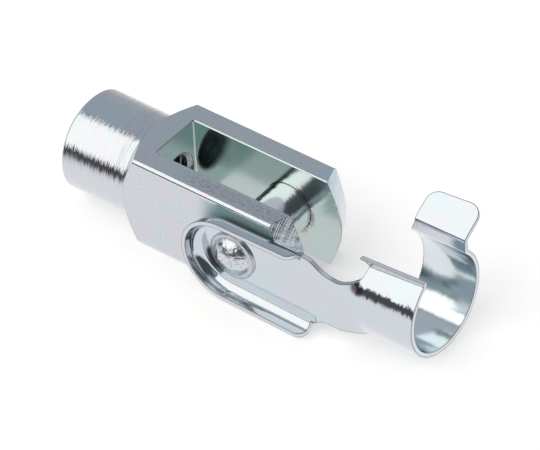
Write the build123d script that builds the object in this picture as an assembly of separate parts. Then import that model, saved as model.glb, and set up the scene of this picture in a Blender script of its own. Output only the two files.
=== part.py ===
from build123d import *
from math import acos, asin, atan2, cos, degrees, hypot, radians, sin, tan
import os

# Clevis rod end, size 4 x 8: a fork head turned and slotted from square bar, a clevis pin, and the
# sprung clip that is riveted to the pin and snaps round the shank to keep the pin in.
# +X runs from the pin to the open mouth, +Y along the pin, and the origin is the middle of the pin.

# Fork head
square = 8.0                 # the bar, across its flats
bar_corner = 0.38            # radius of the bar's four long corners
slot_width = 4.4
slot_corner = 0.15           # radius the cutter leaves at the slot's floor
edge_break = 0.08            # chamfer round the slot where it opens above and below
pin_to_slot_floor = 8.65
floor_thickness = 2.0        # solid wall between the slot and the shank
shank_length = 6.0
shank_diameter = 7.94
shank_chamfer = 0.25
shoulder_slope = 37          # degrees that the turned shoulder leans from square to the axis
pin_to_mouth = 4.85
mouth_slope = 28             # degrees that the turned mouth end leans from square to the axis
thread_diameter = 4.0        # the tapped hole, right through to the slot
thread_lead_in = 0.3

# Clevis pin
pin_diameter = 4.0
pin_clearance = 0.04         # radial, in the ears
pin_overhang = 0.6           # past the far ear
pin_chamfer = 0.4
tenon_diameter = 2.6         # the pin's turned-down end, which passes through the clip
tenon_clearance = 0.03       # radial, in the clip
rivet_diameter = 3.9
rivet_skirt = 0.16           # height of the head's flat rim
rivet_shoulder = 0.2         # height at which the dome springs from the rim
rivet_dome_diameter = 3.2
rivet_height = 0.96

# Spring clip
sheet = 0.35
clip_gap = 0.15              # between the clip's arm and the side of the fork
dish_floor = 2.5             # half width of the flat inside the raised rim
dish_back = 0.27             # the dish's rounded end is struck this far behind the pin
dish_drop = 0.05             # and this far below it
rim_root_bend = 0.5          # inner radius at which the rim's bend begins
rim_root_turn = 27           # degrees of it
rim_bend = 0.85              # inner radius at which it goes on
rim_slope = 85               # degrees that the rim stands up from the flat
rim_spread = 2.2             # degrees that the lower rim runs out of parallel with the upper
rim_height = 1.19            # above the arm's outer face
rim_end = 6.2                # from the pin to the end of the upper rim
lower_rim_end = 6.87         # and of the lower
rim_end_round = 0.85         # radius that the rims' ends are rounded to
rim_end_rise = 0.37          # height of that radius's centre above the arm's outer face
arm_shoulder = 2.93          # half width of the arm beyond the upper rim
neck_upper = 1.96            # height of the neck's upper edge above the arm's centre line
neck_lower = 2.46
neck_centre = 9.4            # from the pin to the middle of the neck
ring_inner_diameter = 7.6
ring_start = 11.07           # from the pin to the near end of the sprung ring
ring_length = 4.68
ring_set = 0.12              # that the ring's middle lies off the fork's, on the arm's side
ring_blend = 1.75            # length over which the flat arm is rolled into the ring
blend_span = 62              # degrees either side of level that the rolled part is cut from
lip_bend = 0.4               # radius, to the middle of the sheet, of the bends at the lips
near_lip_start = 47.5        # degrees round the ring, above level, at the lip's end by the neck
near_lip_end = 52            # and at its other end
near_lip_root = 36           # degrees round the ring at which the lip's own piece begins
near_lip_lean = 6            # degrees outward of upright
near_lip_top = 3.62          # height of its edge above the ring's centre
lip_overlap = 0.7            # that the near lip reaches back past the ring
far_lip_angle = 45.5
tab_rise = 0.75              # from the far lip's bend to the bend of the thumb tab
tab_bend = 0.35
tab_slope = 30               # degrees above level
tab_length = 2.5             # beyond its bend, at the ring's free end
tab_short = 0.3              # that it is shorter at the other end
tab_inset = 0.28             # that it stands in from the ring's near end
tab_corner = 1.0

# Worked out from those
half = square / 2
mouth = pin_to_mouth
slot_floor = -pin_to_slot_floor
shoulder = slot_floor - floor_thickness
shank_end = shoulder - shank_length
shank_radius = shank_diameter / 2
pin_radius = pin_diameter / 2
arm_inner = -half - clip_gap
arm_outer = arm_inner - sheet
arm_middle = (arm_inner + arm_outer) / 2
ring_inner = ring_inner_diameter / 2
ring_outer = ring_inner + sheet
ring_middle = ring_inner + sheet / 2
ring_end = ring_start + ring_length
# The open clip lies down until its ring meets the bench that the fork's flat lies on.
rest_lift = degrees(atan2(ring_outer, ring_start) - asin(half / hypot(ring_start, ring_outer)))


def along_x(profile):
    """Turn a closed profile of (x, radius) points about the X axis."""
    return revolve(make_face(Polyline(*profile, close=True)), Axis.X)


def clevis_body():
    reach = mouth - shoulder
    bar = Box(reach, square, square, align=(Align.MIN, Align.CENTER, Align.CENTER))
    bar = Pos(shoulder, 0, 0) * bar
    bar = fillet(bar.edges().filter_by(Axis.X), bar_corner)
    corner = half * 2 ** 0.5
    turned = along_x([
        (shoulder, 0),
        (shoulder, shank_radius),
        (shoulder + (corner - shank_radius) * tan(radians(shoulder_slope)), corner),
        (mouth - (corner - slot_width / 2) * tan(radians(mouth_slope)), corner),
        (mouth, slot_width / 2),
        (mouth, 0),
    ])
    head = bar & turned
    shank = along_x([
        (shank_end, 0),
        (shank_end, shank_radius - shank_chamfer),
        (shank_end + shank_chamfer, shank_radius),
        (shoulder, shank_radius),
        (shoulder, 0),
    ])
    slot = Box(reach, slot_width, square * 2, align=(Align.MIN, Align.CENTER, Align.CENTER))
    slot = fillet(slot.edges().filter_by(Axis.Z).sort_by(Axis.X)[:2], slot_corner)
    thread_radius = thread_diameter / 2
    thread_hole = along_x([
        (shank_end, 0),
        (shank_end, thread_radius + thread_lead_in),
        (shank_end + thread_lead_in, thread_radius),
        (slot_floor, thread_radius),
        (slot_floor, 0),
    ])
    cross_bore = Rot(90, 0, 0) * Cylinder(pin_radius + pin_clearance, square * 2)
    slotted = head + shank - Pos(slot_floor, 0, 0) * slot
    rims = [
        edge
        for edge in slotted.edges()
        if abs(abs(edge.center().Z) - half) < 0.001
        and abs(edge.center().Y) < slot_width / 2 + 0.001
        and edge.center().X > slot_floor - 0.001
    ]
    return chamfer(rims, edge_break) - thread_hole - cross_bore


def clevis_pin():
    far_end = half + pin_overhang
    tenon_radius = tenon_diameter / 2
    rivet_radius = rivet_diameter / 2
    dome_edge = rivet_dome_diameter / 2
    dome_rise = rivet_height - rivet_shoulder
    dome_radius = (dome_edge ** 2 + dome_rise ** 2) / (2 * dome_rise)
    dome_arc = degrees(asin(dome_edge / dome_radius))
    crown = arm_outer - rivet_height
    outline = Polyline(
        (0, crown),
        (0, far_end),
        (pin_radius - pin_chamfer, far_end),
        (pin_radius, far_end - pin_chamfer),
        (pin_radius, arm_inner),
        (tenon_radius, arm_inner),
        (tenon_radius, arm_outer),
        (rivet_radius, arm_outer),
        (rivet_radius, arm_outer - rivet_skirt),
        (dome_edge, arm_outer - rivet_shoulder),
    )
    dome = CenterArc((0, crown + dome_radius), dome_radius, 270, dome_arc)
    return revolve(make_face([*outline.edges(), dome]), Axis.Y)


def bent_strip(start, heading, moves):
    """Cross-section of a sheet bent up in one plane.

    The walk follows the middle of the sheet. A move is ("straight", length), or ("bend", radius, turn)
    with a turn to the left positive, in degrees.
    """
    left = []
    right = []
    x, y = start

    def beside(px, py, direction, side):
        a = radians(direction + 90 * side)
        return px + cos(a) * sheet / 2, py + sin(a) * sheet / 2

    first_cap = Line(beside(x, y, heading, 1), beside(x, y, heading, -1))
    for move in moves:
        a = radians(heading)
        if move[0] == "straight":
            nx = x + cos(a) * move[1]
            ny = y + sin(a) * move[1]
            left.append(Line(beside(x, y, heading, 1), beside(nx, ny, heading, 1)))
            right.append(Line(beside(x, y, heading, -1), beside(nx, ny, heading, -1)))
            turn = 0
        else:
            radius, turn = move[1], move[2]
            hand = 1 if turn > 0 else -1
            cx = x - sin(a) * radius * hand
            cy = y + cos(a) * radius * hand
            begin = heading - 90 * hand
            left.append(CenterArc((cx, cy), radius - hand * sheet / 2, begin, turn))
            right.append(CenterArc((cx, cy), radius + hand * sheet / 2, begin, turn))
            b = radians(heading + turn)
            nx = cx + sin(b) * radius * hand
            ny = cy - cos(b) * radius * hand
        x, y, heading = nx, ny, heading + turn
    last_cap = Line(beside(x, y, heading, 1), beside(x, y, heading, -1))
    return make_face([first_cap, *left, last_cap, *right])


def on_ring(angle):
    """Middle of the sheet at an angle round the ring, in the (y, z) of the ring's cross-section."""
    return ring_middle * cos(radians(angle)), ring_middle * sin(radians(angle))


def ring_barrel():
    """The sprung ring from its near side, round underneath, to the far lip and the thumb tab."""
    near = 180 - near_lip_root
    section = bent_strip(on_ring(near), near + 90, [
        ("bend", ring_middle, 360 + far_lip_angle - near),
        ("bend", lip_bend, -far_lip_angle),
        ("straight", tab_rise),
        ("bend", tab_bend, tab_slope - 90),
        ("straight", tab_length),
    ])
    return extrude(Plane.YZ.offset(ring_start) * section, ring_length) - tab_waste() - lip_waste()


def tab_waste():
    """What is cut from the thumb tab to leave its outer edge aslant and its two corners round."""
    turn = ring_middle + lip_bend
    root_y = turn * cos(radians(far_lip_angle)) - lip_bend + tab_bend * (1 - sin(radians(tab_slope)))
    root_z = turn * sin(radians(far_lip_angle)) + tab_rise + tab_bend * cos(radians(tab_slope))
    flat = Plane(
        (ring_start, root_y, root_z),
        x_dir=(1, 0, 0),
        z_dir=(0, -sin(radians(tab_slope)), cos(radians(tab_slope))),
    )
    tab = make_face(Polyline(
        (tab_inset, 0),
        (ring_length, 0),
        (ring_length, tab_length),
        (tab_inset, tab_length - tab_short),
        close=True,
    ))
    tab = fillet(tab.vertices().sort_by(Axis.Y)[-2:], tab_corner)
    waste = Rectangle(ring_length + 2, tab_length + 1, align=(Align.MIN, Align.MIN))
    return extrude(flat * (Pos(-1, 0) * waste - tab), sheet, both=True)


def lip_waste():
    """What is cut from the far lip, up to the thumb tab, so that the tab stands in from the ring's end."""
    root = (ring_middle + lip_bend) * sin(radians(far_lip_angle))
    outline = Polyline(
        (ring_start, root),
        (ring_start + tab_inset, root + tab_rise),
        (ring_start + tab_inset, root + tab_rise + tab_length),
        (ring_start - tab_inset, root + tab_rise + tab_length),
        (ring_start - tab_inset, root),
        close=True,
    )
    return extrude(Plane.XZ * make_face(outline), -square)


def near_lip():
    """The lip on the arm's side. Its bend climbs the ring a little toward the free end."""
    sections = []
    near = 180 - near_lip_root
    first = ring_start - lip_overlap - sheet
    for x, angle in ((first, near_lip_start), (ring_end, near_lip_end)):
        section = bent_strip(on_ring(near), near - 90, [
            ("bend", ring_middle, near_lip_root - angle),
            ("bend", lip_bend, angle + near_lip_lean),
            ("straight", near_lip_top - ring_middle * sin(radians(angle))),
        ])
        sections.append(Plane.YZ.offset(x) * section)
    return loft(sections, ruled=True)


def rolled_neck():
    """The part of the sheet that changes from the flat arm to the ring."""
    sections = []
    steps = 6
    span = radians(blend_span) * ring_middle
    for step in range(steps + 1):
        t = step / steps
        ease = t * t * (3 - 2 * t)
        x = ring_start - ring_blend * (1 - t)
        y = arm_middle + (-ring_middle - ring_set - arm_middle) * ease
        if step == 0:
            section = Pos(y, 0) * Rectangle(sheet, 2 * span)
        else:
            radius = ring_middle / ease
            spread = degrees(span / radius)
            section = bent_strip(
                (y + radius - radius * cos(radians(spread)), radius * sin(radians(spread))),
                270 - spread,
                [("bend", radius, 2 * spread)],
            )
        sections.append(Plane.YZ.offset(x) * section)
    return loft(sections)


def side_prism(outline):
    """A closed (x, z) outline carried right through the part along Y."""
    face = Plane.XZ * make_face(outline)
    return extrude(face, 3 * square, both=True)


def arm_outline():
    """Side view of the arm with its rim and the near lip, open beyond the ring's free end."""
    deep = square
    rim_out = deep / 2 + 0.4
    top = Spline(
        (rim_end + 0.01, rim_out),
        (rim_end + 0.02, arm_shoulder + 0.35),
        (rim_end + 0.12, arm_shoulder + 0.04),
        (rim_end + 0.5, arm_shoulder),
        (rim_end + 1.15, arm_shoulder - 0.26),
        (neck_centre - 1.6, 2.36),
        (neck_centre - 0.9, neck_upper + 0.12),
        (neck_centre + 0.1, neck_upper),
        (neck_centre + 0.7, neck_upper + 0.03),
        (ring_start - 0.5, neck_upper + 0.17),
        (ring_start - 0.15, neck_upper + 0.45),
        (ring_start, neck_upper + 0.82),
        (ring_start + 0.05, near_lip_top - 0.55),
        (ring_start, near_lip_top - 0.33),
        (ring_start - 0.25, near_lip_top - 0.18),
        (ring_start - lip_overlap, near_lip_top - 0.12),
        tangents=[(0, -1), (-1, 0.1)],
    )
    bottom = Spline(
        (lower_rim_end + 0.01, -rim_out),
        (lower_rim_end + 0.02, -3.6),
        (lower_rim_end + 0.15, -arm_shoulder - 0.2),
        (lower_rim_end + 0.55, -arm_shoulder + 0.13),
        (neck_centre - 1.3, -neck_lower),
        (neck_centre - 0.7, -neck_lower + 0.06),
        (neck_centre + 0.1, -neck_lower),
        (ring_start - 0.85, -neck_lower - 0.35),
        (ring_start - 0.3, -neck_lower - 1.0),
        (ring_start, -neck_lower - 1.6),
        tangents=[(0, 1), (0, -1)],
    )
    rim_side = Polyline(
        (rim_end + 0.01, rim_out),
        (-deep, rim_out),
        (-deep, -rim_out),
        (lower_rim_end + 0.01, -rim_out),
    )
    ring_side = Polyline(
        (ring_start, -neck_lower - 1.6),
        (ring_start, -deep),
        (ring_end + 1, -deep),
        (ring_end + 1, near_lip_top),
        (ring_start - lip_overlap, near_lip_top),
        (ring_start - lip_overlap, near_lip_top - 0.12),
    )
    return [top, bottom, *rim_side.edges(), *ring_side.edges()]


def dished_arm():
    """The flat arm and the rim that stands up round the pin's end of it."""
    root_rise = rim_root_bend * (1 - cos(radians(rim_root_turn)))
    bend_rise = rim_bend * (cos(radians(rim_root_turn)) - cos(radians(rim_slope)))
    slant = (rim_height - root_rise - bend_rise) / sin(radians(rim_slope))
    margin = 1.0
    arm_end = ring_start - ring_blend
    long = arm_end + dish_back + margin
    section = bent_strip((dish_floor - margin, -arm_middle), 0, [
        ("straight", margin),
        ("bend", rim_root_bend + sheet / 2, rim_root_turn),
        ("bend", rim_bend + sheet / 2, rim_slope - rim_root_turn),
        ("straight", slant),
    ])
    upper = Plane((0, 0, 0), x_dir=(0, 0, 1), z_dir=(1, 0, 0)) * section
    spread = Rot(0, rim_spread, 0)
    lower = spread * (Plane((0, 0, 0), x_dir=(0, 0, -1), z_dir=(-1, 0, 0)) * section)
    rim = extrude(upper, long) + extrude(lower, -long) + revolve(lower, Axis.Y, 180 - rim_spread)
    inside = dish_floor - margin / 2
    floor = Pos(long / 2, arm_middle, 0) * Box(long, sheet, 2 * inside)
    wedge = spread * Pos(long / 2, arm_middle, -inside / 2) * Box(long, sheet, inside)
    disc = Pos(0, arm_middle, 0) * Rot(90, 0, 0) * Cylinder(inside, sheet)
    dish = Pos(-dish_back, 0, -dish_drop) * (floor + wedge + disc + rim)
    beyond = Box(square, 2 * square, 2 * square, align=(Align.MIN, Align.CENTER, Align.CENTER))
    return dish - Pos(arm_end, 0, 0) * beyond


def run_out(arm, end, side):
    """Round off the end of the upper (side 1) or lower (-1) rim and carry the sheet on flat."""
    centre = Pos(end - rim_end_round, arm_outer - rim_end_rise)
    beyond = Pos(0, rim_end_rise + 2 * sheet) * Rectangle(square, square, align=(Align.MIN, Align.MAX))
    rounded = Circle(rim_end_round) + Rectangle(rim_end_round, square, align=(Align.MIN, Align.MIN))
    arm -= extrude(centre * (beyond - rounded), side * square)
    length = ring_start - ring_blend - end
    width = arm_shoulder + sheet / 3
    flat = Pos(end + length / 2, arm_middle, side * width / 2) * Box(length, sheet, width)
    return arm + flat


def spring_clip():
    trim = side_prism(arm_outline())
    near = run_out(run_out(dished_arm(), rim_end, 1), lower_rim_end, -1) & trim
    neck = (rolled_neck() & trim).solids().sort_by(Axis.Z)[0]
    ring = Pos(0, -ring_set, 0) * (ring_barrel() + (near_lip() & trim))
    clip = near + neck + ring
    tenon = Cylinder(tenon_diameter / 2 + tenon_clearance, 4 * sheet)
    clip -= Pos(0, arm_middle, 0) * Rot(90, 0, 0) * tenon
    return Rot(0, -rest_lift, 0) * clip


if __name__ == "__main__":
    os.makedirs("parts", exist_ok=True)
    export_step(clevis_body(), "parts/clevis_body.step")
    export_step(clevis_pin(), "parts/clevis_pin.step")
    export_step(spring_clip(), "parts/spring_clip.step")
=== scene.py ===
"""Clevis rod end with a spring-clip pin: its zinc finishes, the thread in its shank, and its stage.

Everything is in metres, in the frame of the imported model: +X runs along the fork to its mouth,
+Y along the pin away from the clip, +Z is up, and the middle of the pin is the origin. Inside
the materials, places and sizes are counted in millimetres.
"""

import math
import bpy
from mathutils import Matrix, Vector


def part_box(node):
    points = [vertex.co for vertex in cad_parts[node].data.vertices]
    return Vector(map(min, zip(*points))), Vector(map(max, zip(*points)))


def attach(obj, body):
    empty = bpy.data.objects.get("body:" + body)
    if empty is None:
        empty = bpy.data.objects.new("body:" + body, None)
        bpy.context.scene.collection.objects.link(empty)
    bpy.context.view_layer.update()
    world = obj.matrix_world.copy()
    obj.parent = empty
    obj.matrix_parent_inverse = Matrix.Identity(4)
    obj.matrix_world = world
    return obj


bl_info = {
    "name": "Clevis Rod End",
    "version": (1, 0, 0),
    "blender": (4, 5, 0),
    "location": "3D View > Sidebar > Rod End",
    "description": "Finishes, thread and stage for a fork head with a spring-clip pin",
    "category": "Object",
}

import bpy
from mathutils import Matrix, Vector

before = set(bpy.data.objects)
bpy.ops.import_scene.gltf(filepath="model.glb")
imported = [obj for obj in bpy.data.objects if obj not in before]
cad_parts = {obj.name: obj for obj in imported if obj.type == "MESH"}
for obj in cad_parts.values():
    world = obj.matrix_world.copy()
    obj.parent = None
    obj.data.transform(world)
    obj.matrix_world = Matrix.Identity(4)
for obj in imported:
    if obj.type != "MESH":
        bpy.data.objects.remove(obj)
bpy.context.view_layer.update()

MM = 0.001
BODY_LOW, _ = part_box("clevis_body")
SHANK_END = BODY_LOW.x
BED_HEIGHT = BODY_LOW.z

# Where one way of making the part gives way to the next, in millimetres
SHOULDER = -10.65  # along the fork, where the round shank meets the square bar
SLOT_FLOOR = -8.65  # along the fork
SLOT_HALF = 2.2  # half the slot's width
NEAR_EAR = -3.05  # across the fork, to the middle of the ear beside the clip
BAR_SIDE = 4.0  # from the fork's middle to each of the bar's flats
BAR_CORNER = 7.60  # what the coordinates across the fork add up to on the bar's corners
MOUTH_SLOPE = math.radians(28)
MOUTH_CONE = 5.95  # along the fork, where a cone just under the turned mouth meets the axis
SHELTER = -4.2, -2.2  # along the fork, where the clip starts to cover its side
STAIN = -7.5, -3.0  # along the fork, where the stain on the ear grows to its full strength
PIN_RADIUS = 2.0
RIVET_START = -4.55  # across the fork, where the pin's head begins
RIVET_CROWN = 1.5  # radius of the head's crown, inside its skirt
ARM_MIDDLE = -4.325  # across the fork, to the middle of the clip's flat arm
SHEET = 0.35  # thickness of the clip
NECK_START, NECK_END = 4.0, 8.6  # along the fork
# CREASE is also where a dark reddish reflection is painted on the clip
CREASE = (10.8, -3.95, 1.85)  # where the flat neck is rolled into the ring
RING_START = 11.0  # along the fork, where the neck has become the ring
RING_RADIUS = 3.97  # to the middle of the ring's sheet
RING_SET = 0.12  # that the ring lies off the fork's middle
RING_LIFT = 0.0135  # that its middle rises for each unit along the fork
LIP_EDGE = 3.62  # height of the near lip's edge above the ring's middle

# ------------------------------------------------------------------ sums on sockets


class Wire:
    """An output socket with arithmetic: a sum written in Python adds the nodes for it."""

    def __init__(self, graph, socket):
        self.graph = graph
        self.socket = socket

    def math(self, operation, *values):
        return self.graph.node("ShaderNodeMath", {"operation": operation}, values)

    def __add__(self, other):
        return self.math("ADD", self, other)

    def __radd__(self, other):
        return self.math("ADD", other, self)

    def __sub__(self, other):
        return self.math("SUBTRACT", self, other)

    def __rsub__(self, other):
        return self.math("SUBTRACT", other, self)

    def __mul__(self, other):
        return self.math("MULTIPLY", self, other)

    def __rmul__(self, other):
        return self.math("MULTIPLY", other, self)

    def __truediv__(self, other):
        return self.math("DIVIDE", self, other)

    def __pow__(self, other):
        return self.math("POWER", self, other)

    def __neg__(self):
        return self.math("MULTIPLY", self, -1.0)

    def __abs__(self):
        return self.math("ABSOLUTE", self)

    def at_least(self, other):
        return self.math("MAXIMUM", self, other)

    def at_most(self, other):
        return self.math("MINIMUM", self, other)

    def below(self, other):
        return self.math("LESS_THAN", self, other)

    def above(self, other):
        return self.math("GREATER_THAN", self, other)

    def past_whole(self):
        return self.math("FRACT", self)

    def sine(self):
        return self.math("SINE", self)

    def cosine(self):
        return self.math("COSINE", self)

    def angle_from(self, other):
        """The angle, in radians, of a point with this height at that distance along."""
        return self.math("ARCTAN2", self, other)

    def between(self, start, end, low=0.0, high=1.0):
        """Low before start, high after end, and a smooth step from one to the other."""
        values = (self, start, end, low, high)
        return self.graph.node(
            "ShaderNodeMapRange", {"interpolation_type": "SMOOTHSTEP"}, values
        )


class Graph:
    """A node tree in which every node comes from one method."""

    def __init__(self, tree):
        self.tree = tree
        tree.nodes.clear()

    def node(self, kind, settings=None, values=(), out=0):
        """Adds a node: its settings first, then the values or links of its sockets."""
        node = self.tree.nodes.new(kind)
        for name, value in (settings or {}).items():
            if name == "stops":
                self.set_stops(node.color_ramp.elements, value)
            else:
                setattr(node, name, value)
        pairs = values.items() if isinstance(values, dict) else enumerate(values)
        for key, value in pairs:
            if isinstance(value, Wire):
                self.tree.links.new(value.socket, node.inputs[key])
            elif value is not None:
                node.inputs[key].default_value = value
        return Wire(self, node.outputs[out]) if node.outputs else node

    def set_stops(self, elements, stops):
        for index, (place, colour) in enumerate(stops):
            element = elements[index] if index < 2 else elements.new(place)
            element.position = place
            element.color = (*colour, 1.0)

    def vector(self, operation, *values):
        return self.node("ShaderNodeVectorMath", {"operation": operation}, values)

    def scaled(self, vector, factor):
        values = {0: vector, "Scale": factor}
        return self.node("ShaderNodeVectorMath", {"operation": "SCALE"}, values)

    def number(self, operation, *values):
        """A sum on vectors that comes to one number."""
        settings = {"operation": operation}
        return self.node("ShaderNodeVectorMath", settings, values, out="Value")

    def joined(self, x, y, z):
        return self.node("ShaderNodeCombineXYZ", values=(x, y, z))

    def parts(self, vector):
        split = self.node("ShaderNodeSeparateXYZ", values=(vector,))
        return [Wire(self, output) for output in split.socket.node.outputs]

    def millimetres(self):
        """Object coordinates, counted in millimetres."""
        place = self.node("ShaderNodeTexCoord", out="Object")
        return self.scaled(place, 1 / MM)

    def noise(self, vector, scale, detail=2.0, roughness=0.5):
        """Noise about 0.5; scale is how many waves a unit holds, in all or along each axis."""
        if isinstance(scale, tuple):
            vector, scale = self.vector("MULTIPLY", vector, scale), 1.0
        values = {"Vector": vector, "Scale": scale, "Detail": detail, "Roughness": roughness}
        return self.node("ShaderNodeTexNoise", values=values)

    def uneven(self, vector, scale, detail=2.0, roughness=0.5):
        """Noise about 0."""
        return self.noise(vector, scale, detail, roughness) - 0.5

    def mixed(self, factor, first, second, blend="MIX"):
        """A colour that goes from first to second."""
        settings = {"data_type": "RGBA", "blend_type": blend, "clamp_factor": True}
        first, second = [c if isinstance(c, Wire) else (*c, 1.0) for c in (first, second)]
        return self.node("ShaderNodeMix", settings, {0: factor, 6: first, 7: second}, out=2)

    def glow(self, colour, strength=1.0):
        """Light of its own, in a colour in which 1 is white."""
        values = {"Color": (*colour, 1.0), "Strength": strength}
        return self.node("ShaderNodeEmission", values=values)

    def rays(self, *names):
        """1 for a ray of any of the kinds named."""
        path = self.node("ShaderNodeLightPath").socket.node.outputs
        kinds = [Wire(self, path[name]) for name in names]
        found = kinds[0]
        for kind in kinds[1:]:
            found = found.at_least(kind)
        return found

    def surface(self, shader, kind="ShaderNodeOutputMaterial"):
        self.node(kind, values={"Surface": shader})


# ------------------------------------------------------------------ settings


def colour(name, description, default):
    return bpy.props.FloatVectorProperty(
        name=name,
        description=description,
        subtype="COLOR",
        size=3,
        min=0.0,
        max=1.0,
        default=default,
    )


def share(name, description, default):
    return bpy.props.FloatProperty(
        name=name, description=description, subtype="FACTOR", min=0.0, max=1.0, default=default
    )


def length(name, description, default):
    return bpy.props.FloatProperty(
        name=name,
        description=description,
        unit="LENGTH",
        subtype="DISTANCE",
        precision=5,
        default=default,
    )


def angle(name, description, degrees):
    return bpy.props.FloatProperty(
        name=name, description=description, subtype="ANGLE", default=math.radians(degrees)
    )


class ZincSettings(bpy.types.PropertyGroup):
    """Colours and gloss of the plating, with the painted shade, highlight and reflection colours
    among them.
    """

    fork_colour: colour("Fork zinc", "Colour of the plating on the fork", (0.62, 0.655, 0.70))
    mouth_colour: colour("Mouth zinc", "Colour of the turned mouth end", (0.54, 0.67, 0.72))
    slot_colour: colour(
        "Slot zinc", "Colour of the passivated plating inside the slot", (0.51, 0.60, 0.588)
    )
    # painted teal shade where the clip covers the fork's side
    clip_shade_colour: colour(
        "Clip shade", "Painted teal shade on the fork's side behind the clip", (0.50, 0.70, 0.68)
    )
    pin_colour: colour("Pin zinc", "Colour of the plating on the pin", (0.95, 0.95, 0.97))
    rivet_colour: colour("Rivet zinc", "Colour of the hammered rivet head", (0.62, 0.67, 0.71))
    clip_colour: colour(
        "Clip zinc", "Colour of the plating on the stamped clip", (0.595, 0.65, 0.70)
    )
    # the inside of the ring painted lighter and bluer than the rest of the clip, as painted light
    lit_ring_inside_colour: colour("Lit ring inside", "Painted lighter colour inside the clip's ring", (0.71, 0.785, 0.82))
    # painted highlight on the sheared edges that face up
    edge_highlight_colour: colour(
        "Edge highlight", "Painted highlight on the clip's upper sheared edges", (0.96, 0.97, 0.98)
    )
    # also painted along every edge as dark lines, which stand in for dark reflections
    wear_and_edge_shade_colour: colour("Thin zinc and edge shade", "Colour of pits and thin zinc, also painted as dark shade along edges", (0.20, 0.205, 0.21))
    score_colour: colour("Scores", "Colour of the tool lines on the shank", (0.28, 0.27, 0.29))
    tarnish_colour: colour("Tarnish", "Colour of the stain on the ear", (0.33, 0.27, 0.25))
    # a dark crescent on the far ear's face round the pin
    pin_crescent_colour: colour("Pin crescent", "Colour of the dark crescent round the pin", (0.20, 0.18, 0.14))
    # painted dark reddish reflection in the crease
    crease_reflection_colour: colour("Crease", "Colour of the painted dark reflection at the crease", (0.20, 0.12, 0.14))
    fork_roughness: share("Fork roughness", "Roughness of the drawn bar's flats", 0.24)
    turned_roughness: share("Turned roughness", "Roughness of the turned ends", 0.11)
    slot_roughness: share("Slot roughness", "Roughness of the milled slot faces", 0.15)
    clip_roughness: share("Clip roughness", "Roughness of the rolled sheet", 0.09)
    pin_roughness: share("Pin roughness", "Roughness of the turned pin", 0.14)


class ThreadSettings(bpy.types.PropertyGroup):
    """Sizes of the tapped thread."""

    pitch: length("Pitch", "Distance from one turn to the next", 0.7 * MM)
    root_radius: length("Root radius", "Radius of the bore at the foot of the turns", 1.985 * MM)
    crest_radius: length("Crest radius", "Radius at which the turns end", 1.62 * MM)
    start: length("Start", "Where the thread starts, along the fork", SHANK_END + 0.32 * MM)
    end: length("End", "Where it ends, just under the slot's floor", (SLOT_FLOOR - 0.006) * MM)


class StageSettings(bpy.types.PropertyGroup):
    """The floor, the lamp and the camera."""

    floor_size: length("Floor size", "Side of the square floor", 2.4)
    floor_colour: colour("Floor", "Colour of the pale floor", (0.82, 0.82, 0.82))
    lamp_width: length("Lamp width", "Width of the soft lamp", 1.15)
    lamp_height: length("Lamp height", "Height of the soft lamp", 1.0)
    lamp_distance: length("Lamp distance", "Distance from the pin to the soft lamp", 0.9)
    camera_azimuth: angle(
        "Camera azimuth", "Angle round the part, from the clip's side to the mouth's", 39.223
    )
    camera_elevation: angle("Camera elevation", "Angle of the camera above the floor", 41.118)
    camera_roll: angle("Camera roll", "Turn of the camera about its line of sight", -2.792)
    camera_distance: length(
        "Camera distance", "Distance from the camera to the middle of the pin", 0.324935
    )


# ------------------------------------------------------------------ finishes

# Tints of the clouds in clear passivation, from blue through green to rose
PASSIVATION = (
    (0.30, (0.93, 1.00, 1.06)),
    (0.44, (0.96, 1.03, 1.00)),
    (0.53, (1.00, 1.00, 1.00)),
    (0.62, (1.04, 0.975, 0.99)),
    (0.74, (0.96, 0.98, 1.06)),
)

# In millimetres
EDGE_ROUNDING = 0.06  # radius that light finds on the turned and milled edges
SHEET_ROUNDING = 0.09
RELIEF = 0.006  # height of one unit of fine relief

# How many waves of each pattern a millimetre holds, along each axis
SHANK_MARKS = (24.0, 0.5, 0.5)
SHANK_RINGS = (11.0, 0.3, 0.3)
SHANK_SCORES = (16.0, 0.35, 0.35)
TOOL_LINES = (9.0, 0.2, 0.2)
MOUTH_ARCS = (20.0, 3.0, 1.0)
DRAWN_LINES = (0.35, 6.0, 6.0)
STAIN_SPOTS = (3.0, 6.0, 6.0)
PIN_MARKS = (0.5, 10.0, 0.5)
SHEET_WAVES = (3.6, 1.0, 1.0)
ROLLED_LINES = (0.3, 5.0, 5.0)
MOUTH_HATCHES = 40.0  # a radian

# How far the surface leans at a mark, as a tangent
SHANK_LEAN = 0.46
ARC_LEAN = 0.85
HATCH_LEAN = 0.9
PIN_LEAN = 0.4
SHEET_LEAN = 0.04
RING_OUTSIDE_LEAN = 0.2
RING_INSIDE_LEAN = 0.05


def new_finish(name):
    material = bpy.data.materials.new(name)
    material.use_nodes = True
    return material, Graph(material.node_tree)


def geometry_normal(graph):
    return graph.node("ShaderNodeNewGeometry", out="Normal")


def leaning(graph, normal, direction, amount):
    """The normal, leaning by amount towards a direction given on the object."""
    settings = {"vector_type": "VECTOR", "convert_from": "OBJECT", "convert_to": "WORLD"}
    unit = graph.vector("NORMALIZE", direction)
    turned = graph.node("ShaderNodeVectorTransform", settings, (unit,))
    return graph.vector("NORMALIZE", graph.vector("ADD", normal, graph.scaled(turned, amount)))


def rounded(graph, normal, radius):
    """The normal, turned over the edges as if they were rounded; radius in millimetres."""
    values = {"Radius": radius * MM, "Normal": normal}
    return graph.node("ShaderNodeBevel", {"samples": 8}, values)


def edge_mask(graph, radius, start=0.02, end=0.16):
    """1 along every edge and 0 on the faces; radius in millimetres."""
    bent = rounded(graph, None, radius)
    facing = graph.number("DOT_PRODUCT", bent, geometry_normal(graph))
    return (1 - facing).between(start, end)


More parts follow.
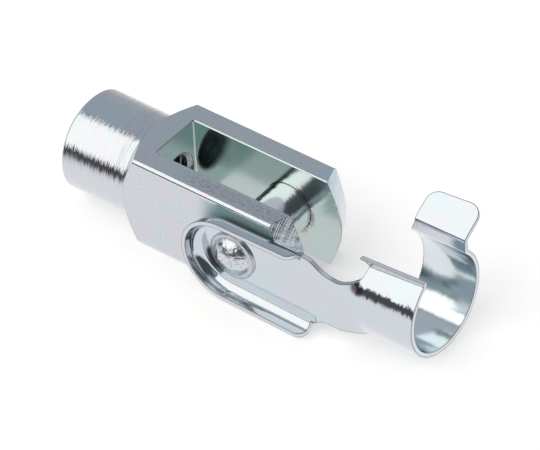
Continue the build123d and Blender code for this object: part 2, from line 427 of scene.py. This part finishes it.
def bumped(graph, height, distance, normal):
    """Height is counted in units of distance, in millimetres."""
    values = {"Distance": distance * MM, "Height": height, "Normal": normal}
    return graph.node("ShaderNodeBump", values=values)


def tinted(graph, place, base, scale, strength):
    """The base colour, with the faint blue, green and rose clouds of clear-passivated zinc."""
    clouds = graph.noise(place, scale, 3.0, 0.55)
    tint = graph.node("ShaderNodeValToRGB", {"stops": PASSIVATION}, (clouds,))
    return graph.mixed(strength, base, tint, "MULTIPLY")


def plated(graph, colour, roughness, normal):
    """The plating itself, with whatever changes over the surface."""
    values = {"Base Color": colour, "Metallic": 1.0, "Roughness": roughness, "Normal": normal}
    graph.surface(graph.node("ShaderNodeBsdfPrincipled", values=values))


def from_axis(first, second):
    """Distance from an axis, given the two coordinates across it."""
    return (first * first + second * second) ** 0.5


def fork_finish(settings):
    """Drawn square bar with turned ends and a milled slot, all bright zinc."""
    material, g = new_finish("fork_bright_zinc")
    place = g.millimetres()
    x, y, z = g.parts(place)
    radius = from_axis(y, z)
    from_pin = from_axis(x, z)

    # where each way of making shows, and where teal shade is painted behind the clip
    shank = x.between(SHOULDER + 0.03, SHOULDER - 0.01)
    cone = (radius * math.tan(MOUTH_SLOPE) + x).between(MOUTH_CONE - 0.2, MOUTH_CONE)
    turned = shank.at_least(cone)
    slot = abs(y).between(SLOT_HALF + 0.06, SLOT_HALF + 0.02)
    slot = slot * x.between(SLOT_FLOOR - 0.06, SLOT_FLOOR - 0.02)
    flats = (1 - turned) * (1 - slot)
    corner = (abs(y) + abs(z)).between(BAR_CORNER - 0.15, BAR_CORNER) * (1 - turned)
    # painted teal shade on the fork's side behind the clip, between the clip and the bar
    painted_clip_shade = x.between(*SHELTER) * y.below(0.1 - BAR_SIDE)
    painted_clip_shade = painted_clip_shade * abs(z).between(BAR_SIDE - 0.3, BAR_SIDE - 0.55)

    # the turned ends: each tool mark leans its own way
    about_x = g.joined(0.0, -z, y)
    outwards = g.joined(0.0, y, z)
    marks = g.uneven(place, SHANK_MARKS, 1.5, 0.7)
    arcs = g.uneven(g.joined(radius, g.noise(place, 1.2, 1.0), 0.0), MOUTH_ARCS, 2.0, 0.6)
    hatches = g.joined(z.angle_from(y) * MOUTH_HATCHES, radius * 0.5, x)
    chatter = g.uneven(hatches, 1.0, 2.0, 0.6)
    normal = leaning(g, geometry_normal(g), about_x, marks * shank * SHANK_LEAN)
    normal = leaning(g, normal, outwards, arcs * cone * ARC_LEAN)
    normal = leaning(g, normal, about_x, chatter * cone * HATCH_LEAN)
    normal = rounded(g, normal, EDGE_ROUNDING)

    # fine relief: lines along the drawn bar, rings round the shank, and grain all over
    drawn = g.noise(place, DRAWN_LINES, 3.0, 0.55)
    rings = g.noise(place, SHANK_RINGS, 2.0, 0.6)
    grain = g.noise(place, 10.0, 3.0, 0.6)
    height = drawn * flats * 0.4 + grain * (0.25 + 0.45 * flats) + rings * shank * 0.22
    normal = bumped(g, height, RELIEF, normal)

    rough = settings.fork_roughness * flats + settings.slot_roughness * slot
    rough = rough + settings.turned_roughness * turned
    rough = rough - corner * 0.15 + painted_clip_shade * 0.3
    rough = rough + g.uneven(place, 0.6) * 0.10 + (grain - 0.5) * 0.08

    base = g.mixed(cone * 0.5, settings.fork_colour, settings.mouth_colour)
    base = g.mixed(slot, base, settings.slot_colour)
    # painted teal shade behind the clip
    base = g.mixed(painted_clip_shade * 0.7, base, settings.clip_shade_colour)
    base = tinted(g, place, base, 0.5, 0.9)

    # wear: pits in the flats, tool lines on the shank and a stain on the near ear; and painted dark
    # lines along every edge, standing in for dark reflections
    pits = g.noise(place, 5.5, 4.0, 0.8).between(0.50, 0.66) * flats
    scores = g.noise(place, SHANK_SCORES, 2.0, 0.7).between(0.45, 0.75) * shank
    stain = abs(y - NEAR_EAR).between(0.95, 0.25) * x.between(*STAIN)
    stain = stain * z.between(BAR_SIDE - 0.2, BAR_SIDE - 0.1)
    stain = stain * g.noise(place, STAIN_SPOTS, 4.0, 0.75).between(0.40, 0.62)
    # a dark crescent on the far ear's face round the pin, on the mouth side
    pin_crescent = from_pin.between(PIN_RADIUS + 0.5, PIN_RADIUS + 0.15) * slot * y.above(0.0)
    pin_crescent = pin_crescent * x.between(0.2, 1.2) * g.noise(place, 2.6, 3.0, 0.6).between(0.36, 0.52)
    tool_lines = g.noise(place, TOOL_LINES, 2.0, 0.7).between(0.52, 0.66) * shank
    tool_lines = tool_lines * x.between(SHOULDER - 2.65, SHOULDER - 0.65) * z.between(0.5, 2.0)
    base = g.mixed(pits * 0.24 + scores * 0.10, base, settings.wear_and_edge_shade_colour)
    base = g.mixed(stain * 0.55, base, settings.tarnish_colour)
    base = g.mixed(pin_crescent * 0.7, base, settings.pin_crescent_colour)
    base = g.mixed(tool_lines * 0.35, base, settings.score_colour)
    # painted dark lines along every edge, standing in for dark reflections
    base = g.mixed(edge_mask(g, 0.10) * 0.5, base, settings.wear_and_edge_shade_colour)
    plated(g, base, rough, normal)
    return material


def pin_finish(settings):
    """Turned pin with a hammered rivet head."""
    material, g = new_finish("pin_bright_zinc")
    place = g.millimetres()
    x, y, z = g.parts(place)
    head = y.between(RIVET_START, RIVET_START - 0.1)
    skirt = from_axis(x, z).between(RIVET_CROWN, RIVET_CROWN + 0.12) * head

    about_y = g.joined(z, 0.0, -x)
    marks = g.uneven(place, PIN_MARKS, 3.0, 0.75)
    normal = leaning(g, geometry_normal(g), about_y, marks * (1 - head) * PIN_LEAN)
    normal = rounded(g, normal, EDGE_ROUNDING + head * 0.2)
    blows = g.noise(place, 1.7)
    dents = g.noise(place, 4.2, 3.0, 0.55)
    grain = g.noise(place, 11.0, 3.0, 0.6)
    height = blows * head * 14.0 + dents * head * 5.0 + grain * 0.4
    normal = bumped(g, height, RELIEF, normal)

    base = g.mixed(head, settings.pin_colour, settings.rivet_colour)
    base = tinted(g, place, base, 0.6, 0.5)
    # worn spots in the hammered dents, and painted shade over the flat skirt round the crown
    worn_and_skirt_shade = (dents.between(0.48, 0.64) * head).at_least(skirt * 0.7)
    base = g.mixed(worn_and_skirt_shade * 0.35, base, settings.wear_and_edge_shade_colour)
    # painted dark lines along every edge, standing in for dark reflections
    base = g.mixed(edge_mask(g, 0.05) * 0.5, base, settings.wear_and_edge_shade_colour)
    plated(g, base, settings.pin_roughness + (grain - 0.5) * 0.1 + worn_and_skirt_shade * 0.1, normal)
    return material


def clip_finish(settings):
    """Rolled spring sheet, stamped and bent, then plated."""
    material, g = new_finish("clip_bright_zinc")
    place = g.millimetres()
    x, y, z = g.parts(place)

    # the two sides of the ring, and the sheared edges that face up, where a highlight is painted
    off_axis, above_axis = y + RING_SET, z - x * RING_LIFT
    radius = from_axis(off_axis, above_axis)
    ring = x.between(RING_START - 1.2, RING_START)
    outside = ring * radius.between(RING_RADIUS - 0.05, RING_RADIUS + 0.05)
    inside = ring * radius.between(RING_RADIUS + 0.05, RING_RADIUS - 0.05)
    lip_highlight = above_axis.between(LIP_EDGE - 0.12, LIP_EDGE - 0.06)
    lip_highlight = lip_highlight * off_axis.below(0.0) * x.above(9.0)
    neck_highlight = abs(y - ARM_MIDDLE).between(SHEET / 2 - 0.01, SHEET / 2 - 0.035) * z.above(0.0)
    neck_highlight = neck_highlight * x.between(NECK_START - 0.5, NECK_START)
    neck_highlight = neck_highlight * x.between(NECK_END + 0.4, NECK_END)

    about_x = g.joined(0.0, -z, y)
    waves = g.uneven(place, SHEET_WAVES, 4.0, 0.72)
    lean = SHEET_LEAN + RING_OUTSIDE_LEAN * outside + RING_INSIDE_LEAN * inside
    normal = leaning(g, geometry_normal(g), about_x, waves * lean)
    normal = rounded(g, normal, SHEET_ROUNDING)
    grain = g.noise(place, 8.0, 3.0, 0.6)
    rolled = g.noise(place, ROLLED_LINES, 3.0, 0.55)
    normal = bumped(g, grain * 0.35 + rolled * 0.3, RELIEF, normal)

    # painted dark reddish reflection in the crease between the neck and the ring
    from_crease = g.number("LENGTH", g.vector("SUBTRACT", place, CREASE))
    base = tinted(g, place, settings.clip_colour, 0.38, 0.7)
    # painted near-white highlight on the sheared edges that face up
    base = g.mixed(lip_highlight.at_least(neck_highlight) * 0.95, base, settings.edge_highlight_colour)
    base = g.mixed(from_crease.between(0.62, 0.30) * 0.75, base, settings.crease_reflection_colour)
    # painted light: the inside of the ring is made lighter and bluer
    base = g.mixed(inside, base, settings.lit_ring_inside_colour)
    # painted dark lines along every edge, standing in for dark reflections
    base = g.mixed(edge_mask(g, 0.13, 0.005, 0.06) * 0.8, base, settings.wear_and_edge_shade_colour)
    rough = settings.clip_roughness + inside * 0.06 + edge_mask(g, 0.2, 0.01, 0.2) * 0.3
    plated(g, base, rough + (grain - 0.5) * 0.08, normal)
    return material


def thread_finish(settings):
    """The tapped turns, where the plating runs thin."""
    material, g = new_finish("thread_dull_zinc")
    place = g.millimetres()
    grain = g.noise(place, 6.0, 3.0, 0.6)
    normal = bumped(g, grain, THREAD_RELIEF, geometry_normal(g))
    base = g.mixed(grain.between(0.3, 0.7), settings.slot_colour, settings.wear_and_edge_shade_colour)
    plated(g, base, 0.25 + grain * 0.15, normal)
    return material


def set_finish(node, material):
    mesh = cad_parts[node].data
    mesh.materials.clear()
    mesh.materials.append(material)


# ------------------------------------------------------------------ thread

THREAD_ROWS_A_TURN = 14
THREAD_ANGLES = 64
THREAD_SEAT = 0.045 * MM  # that the sleeve's back is sunk in the bore's wall
THREAD_MERGE = 0.001 * MM  # below which two points are one
THREAD_RELIEF = 0.008  # height of the dull grain, in millimetres
THREAD_ROOT = 0.14  # share of the half pitch that is the flat at the root
THREAD_FLANK = 0.60  # share of the half pitch that is the flank
THREAD_INPUTS = ("Pitch", "Root Radius", "Crest Radius", "Start", "End")


def thread_tree(material, rows):
    """A sleeve whose inside follows a helix and whose back is sunk in the wall of the bore."""
    tree = bpy.data.node_groups.new("tapped_turns", "GeometryNodeTree")
    for name in THREAD_INPUTS:
        tree.interface.new_socket(name, in_out="INPUT", socket_type="NodeSocketFloat")
    tree.interface.new_socket("Geometry", in_out="OUTPUT", socket_type="NodeSocketGeometry")
    g = Graph(tree)
    inputs = g.node("NodeGroupInput").socket.node.outputs
    pitch, root, crest, start, end = [Wire(g, inputs[name]) for name in THREAD_INPUTS]

    # a flat grid with one unit from row to row, and one unit right across
    sizes = {
        "Size X": rows - 1.0,
        "Size Y": 1.0,
        "Vertices X": rows,
        "Vertices Y": THREAD_ANGLES + 1,
    }
    grid = g.node("GeometryNodeMeshGrid", values=sizes)
    across, along, _ = g.parts(g.node("GeometryNodeInputPosition"))
    row, turn = across + (rows - 1) / 2, along + 0.5

    # the first row and the last two are the sleeve's back, and close it
    back = row.below(0.5).at_least(row.above(rows - 2.5))
    passed = ((row - 1) / (rows - 4)).at_least(0.0).at_most(1.0) * row.below(rows - 1.5)
    x = start + passed * (end - start)
    phase = abs((x / pitch - turn).past_whole() - 0.5) * 2
    depth = ((phase - THREAD_ROOT) / THREAD_FLANK).at_least(0.0).at_most(1.0)
    radius = root - depth * (root - crest)
    radius = radius * (1 - back) + (root + THREAD_SEAT) * back
    angle = turn * math.tau
    place = g.joined(x, radius * angle.cosine(), radius * angle.sine())

    mesh = g.node("GeometryNodeSetPosition", values={"Geometry": grid, "Position": place})
    merge = {"Geometry": mesh, "Distance": THREAD_MERGE}
    mesh = g.node("GeometryNodeMergeByDistance", values=merge)
    mesh = g.node("GeometryNodeSetShadeSmooth", values={"Geometry": mesh, "Shade Smooth": True})
    mesh = g.node("GeometryNodeRealizeInstances", values={"Geometry": mesh})
    mesh = g.node("GeometryNodeSetMaterial", values={"Geometry": mesh, "Material": material})
    g.node("NodeGroupOutput", values={"Geometry": mesh})
    return tree


def made_by_nodes(name, tree, values):
    """An object with the plain mesh that a node tree makes."""
    obj = bpy.data.objects.new(name, bpy.data.meshes.new(name))
    bpy.context.scene.collection.objects.link(obj)
    modifier = obj.modifiers.new(name, "NODES")
    modifier.node_group = tree
    for item in tree.interface.items_tree:
        if item.in_out == "INPUT":
            modifier[item.identifier] = values[item.name]
    bpy.context.view_layer.update()
    depsgraph = bpy.context.evaluated_depsgraph_get()
    mesh = bpy.data.meshes.new_from_object(obj.evaluated_get(depsgraph))
    obj.modifiers.remove(modifier)
    obj.data = mesh
    return obj


def tapped_turns(settings, material):
    turns = (settings.end - settings.start) / settings.pitch
    rows = round(turns * THREAD_ROWS_A_TURN) + 4
    values = {
        "Pitch": settings.pitch,
        "Root Radius": settings.root_radius,
        "Crest Radius": settings.crest_radius,
        "Start": settings.start,
        "End": settings.end,
    }
    thread = made_by_nodes("tapped_turns", thread_tree(material, rows), values)
    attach(thread, "fork")
    return thread


# ------------------------------------------------------------------ stage

FLOOR_DROP = 0.002 * MM  # that the floor lies under the fork's flat
LAMP_DIRECTION = Vector((-0.476, -0.673, 0.62)).normalized()
LAMP_RADIANCE = 1.42
LAMP_COLOUR = (1.0, 0.95, 0.90)

# What polished metal sees of the stage, in colours in which 1 is white
BRIGHT_FLOOR = (1.05, 1.0, 1.0)
BRIGHT_FLOOR_RADIUS = 20.0, 50.0  # in millimetres, where it starts and ends falling off
FAR_FLOOR = (0.085, 0.09, 0.095)
DARK_ROOM = (0.075, 0.08, 0.085)
LOW_CEILING = (0.48, 0.50, 0.52)
HIGH_CEILING = (0.43, 0.47, 0.515)
LAMP_FRAME = 1.12, 1.09  # where the dark frame round the lamp ends, as shares of the lamp
ROOM_LIGHT = (0.72, 0.72, 0.72)  # what lights everything else
BACKDROP = (1.0, 1.0, 1.0)

# The view, in pixels
VIEW_WIDTH = 540.0
FOCAL = 4461.5
PIN_ASIDE, PIN_ABOVE = 0.747, 3.411  # from the view's middle to the pin's
SENSOR_WIDTH = 36.0  # in millimetres


def floor(settings):
    """A pale sheet: metal sees it white about the part and falling off into the dark room."""
    half = settings.floor_size / 2
    height = BED_HEIGHT - FLOOR_DROP
    corners = [(a * half, b * half, height) for a, b in ((-1, -1), (1, -1), (1, 1), (-1, 1))]
    mesh = bpy.data.meshes.new("floor")
    mesh.from_pydata(corners, [], [(0, 1, 2, 3)])
    obj = bpy.data.objects.new("floor", mesh)
    bpy.context.scene.collection.objects.link(obj)

    material, g = new_finish("pale_floor")
    place = g.millimetres()
    x, y, _ = g.parts(place)
    mirrored = g.rays("Is Glossy Ray")
    seen = g.rays("Is Camera Ray", "Is Glossy Ray", "Is Transmission Ray")
    dimmer = [level * 0.97 for level in settings.floor_colour]
    tone = g.mixed(g.noise(place, 0.02), settings.floor_colour, dimmer)
    paint = g.node("ShaderNodeBsdfDiffuse", values={"Color": tone})
    pale = g.node("ShaderNodeAddShader", values=(paint, g.glow((1.0, 1.0, 1.0), seen * 0.33)))
    pale = g.node("ShaderNodeMixShader", values=(mirrored * 0.8, pale, g.glow(BRIGHT_FLOOR)))

    # less of it falls off behind the part and past the mouth
    away = from_axis(x, y).between(*BRIGHT_FLOOR_RADIUS)
    away = away * y.between(25.0, -10.0, 0.45, 1.0) * x.between(12.0, -6.0, 0.65, 1.0)
    g.surface(g.node("ShaderNodeMixShader", values=(away * mirrored, pale, g.glow(FAR_FLOOR))))
    mesh.materials.append(material)


def lamp_turn():
    """The rotation that points a lamp from its place to the part."""
    return (-LAMP_DIRECTION).to_track_quat("-Z", "Y")


def surroundings(settings):
    """A plain studio: a dim ceiling, the lamp's dark frame, and the dark room past the floor."""
    world = bpy.data.worlds.new("studio")
    bpy.context.scene.world = world
    world.use_nodes = True
    g = Graph(world.node_tree)
    direction = g.node("ShaderNodeTexCoord", out="Generated")
    x, y, z = g.parts(direction)

    # how far off the lamp's middle a ray passes, as a share of the lamp's half
    turn = lamp_turn()
    facing = g.number("DOT_PRODUCT", direction, LAMP_DIRECTION)
    aside = g.number("DOT_PRODUCT", direction, turn @ Vector((1, 0, 0)))
    above = g.number("DOT_PRODUCT", direction, turn @ Vector((0, 1, 0)))
    across = abs(aside) / (settings.lamp_width / 2)
    off_middle = across.at_least(abs(above) / (settings.lamp_height / 2))
    off_middle = off_middle * settings.lamp_distance / facing.at_least(0.1)
    lamp_frame = off_middle.between(*LAMP_FRAME) * facing.above(0.1)

    # the gap between floor and lamp in front, and the dark side past the mouth
    gap = y.between(0.25, -0.25) * z.between(0.24, 0.17)
    past_mouth = x.between(0.0, 0.35) * y.between(0.75, 0.35) * z.between(0.95, 0.70)
    dark = gap.at_least(past_mouth).at_least(lamp_frame)
    room = g.mixed(z.between(0.0, 0.6), LOW_CEILING, HIGH_CEILING)
    room = g.mixed(dark, room, DARK_ROOM)
    seen = g.mixed(g.rays("Is Glossy Ray", "Is Transmission Ray"), ROOM_LIGHT, room)
    seen = g.mixed(g.rays("Is Camera Ray"), seen, BACKDROP)
    background = g.node("ShaderNodeBackground", values={"Color": seen})
    g.surface(background, "ShaderNodeOutputWorld")


def lamp(settings):
    """One large soft lamp, high on the left."""
    data = bpy.data.lights.new("soft_lamp", "AREA")
    data.shape = "RECTANGLE"
    data.size = settings.lamp_width
    data.size_y = settings.lamp_height
    data.color = LAMP_COLOUR
    data.energy = LAMP_RADIANCE * math.pi * data.size * data.size_y
    obj = bpy.data.objects.new("soft_lamp", data)
    bpy.context.scene.collection.objects.link(obj)
    obj.location = LAMP_DIRECTION * settings.lamp_distance
    obj.rotation_euler = lamp_turn().to_euler()


def camera(settings):
    """A long lens, turned towards the pin and rolled a little."""
    azimuth, elevation = settings.camera_azimuth, settings.camera_elevation
    level = math.cos(elevation)
    towards = Vector(
        (math.sin(azimuth) * level, -math.cos(azimuth) * level, math.sin(elevation))
    )
    flat = (-towards).cross(Vector((0, 0, 1))).normalized()
    upright = flat.cross(-towards)
    cosine, sine = math.cos(settings.camera_roll), math.sin(settings.camera_roll)
    across = cosine * flat + sine * upright
    up = cosine * upright - sine * flat
    place = towards - across * (PIN_ASIDE / FOCAL) - up * (PIN_ABOVE / FOCAL)

    data = bpy.data.cameras.new("camera")
    data.sensor_width = SENSOR_WIDTH
    data.sensor_fit = "HORIZONTAL"
    data.lens = SENSOR_WIDTH * FOCAL / VIEW_WIDTH
    data.clip_start = 0.01
    data.clip_end = 20.0
    obj = bpy.data.objects.new("camera", data)
    bpy.context.scene.collection.objects.link(obj)
    turn = Matrix((across, up, towards)).transposed()
    obj.matrix_world = Matrix.LocRotScale(place * settings.camera_distance, turn, None)
    bpy.context.scene.camera = obj


# ------------------------------------------------------------------ operators


class ROD_END_OT_finish_fork(bpy.types.Operator):
    """Give the fork its drawn, turned and milled zinc finish"""

    bl_idname = "rod_end.finish_fork"
    bl_label = "Finish Fork"

    def execute(self, context):
        set_finish("clevis_body", fork_finish(context.scene.rod_end_zinc))
        return {"FINISHED"}


class ROD_END_OT_finish_pin(bpy.types.Operator):
    """Give the pin its turned zinc finish and hammered head"""

    bl_idname = "rod_end.finish_pin"
    bl_label = "Finish Pin"

    def execute(self, context):
        set_finish("clevis_pin", pin_finish(context.scene.rod_end_zinc))
        return {"FINISHED"}


class ROD_END_OT_finish_clip(bpy.types.Operator):
    """Give the spring clip its rolled sheet finish"""

    bl_idname = "rod_end.finish_clip"
    bl_label = "Finish Clip"

    def execute(self, context):
        set_finish("spring_clip", clip_finish(context.scene.rod_end_zinc))
        return {"FINISHED"}


class ROD_END_OT_cut_thread(bpy.types.Operator):
    """Put the tapped turns in the shank's bore"""

    bl_idname = "rod_end.cut_thread"
    bl_label = "Cut Thread"

    def execute(self, context):
        scene = context.scene
        tapped_turns(scene.rod_end_thread, thread_finish(scene.rod_end_zinc))
        return {"FINISHED"}


class ROD_END_OT_set_stage(bpy.types.Operator):
    """Lay the floor, hang the lamp, light the room and set the camera"""

    bl_idname = "rod_end.set_stage"
    bl_label = "Set Stage"

    def execute(self, context):
        settings = context.scene.rod_end_stage
        floor(settings)
        surroundings(settings)
        lamp(settings)
        camera(settings)
        context.scene.view_settings.view_transform = "Standard"
        return {"FINISHED"}


class ROD_END_PT_panel(bpy.types.Panel):
    """Lists the steps that dress the rod end"""

    bl_idname = "ROD_END_PT_panel"
    bl_label = "Clevis Rod End"
    bl_space_type = "VIEW_3D"
    bl_region_type = "UI"
    bl_category = "Rod End"

    def draw(self, context):
        scene = context.scene
        for settings in (scene.rod_end_zinc, scene.rod_end_thread, scene.rod_end_stage):
            box = self.layout.box()
            for name in settings.__annotations__:
                box.prop(settings, name)
        for step in STEPS:
            self.layout.operator(step.bl_idname)


STEPS = (
    ROD_END_OT_finish_fork,
    ROD_END_OT_finish_pin,
    ROD_END_OT_finish_clip,
    ROD_END_OT_cut_thread,
    ROD_END_OT_set_stage,
)
CLASSES = (ZincSettings, ThreadSettings, StageSettings, *STEPS, ROD_END_PT_panel)


def register():
    for item in CLASSES:
        bpy.utils.register_class(item)
    bpy.types.Scene.rod_end_zinc = bpy.props.PointerProperty(type=ZincSettings)
    bpy.types.Scene.rod_end_thread = bpy.props.PointerProperty(type=ThreadSettings)
    bpy.types.Scene.rod_end_stage = bpy.props.PointerProperty(type=StageSettings)


def unregister():
    del bpy.types.Scene.rod_end_stage
    del bpy.types.Scene.rod_end_thread
    del bpy.types.Scene.rod_end_zinc
    for item in reversed(CLASSES):
        bpy.utils.unregister_class(item)


def main():
    register()
    bpy.ops.rod_end.finish_fork()
    bpy.ops.rod_end.finish_pin()
    bpy.ops.rod_end.finish_clip()
    bpy.ops.rod_end.cut_thread()
    bpy.ops.rod_end.set_stage()


if __name__ == "__main__":
    main()
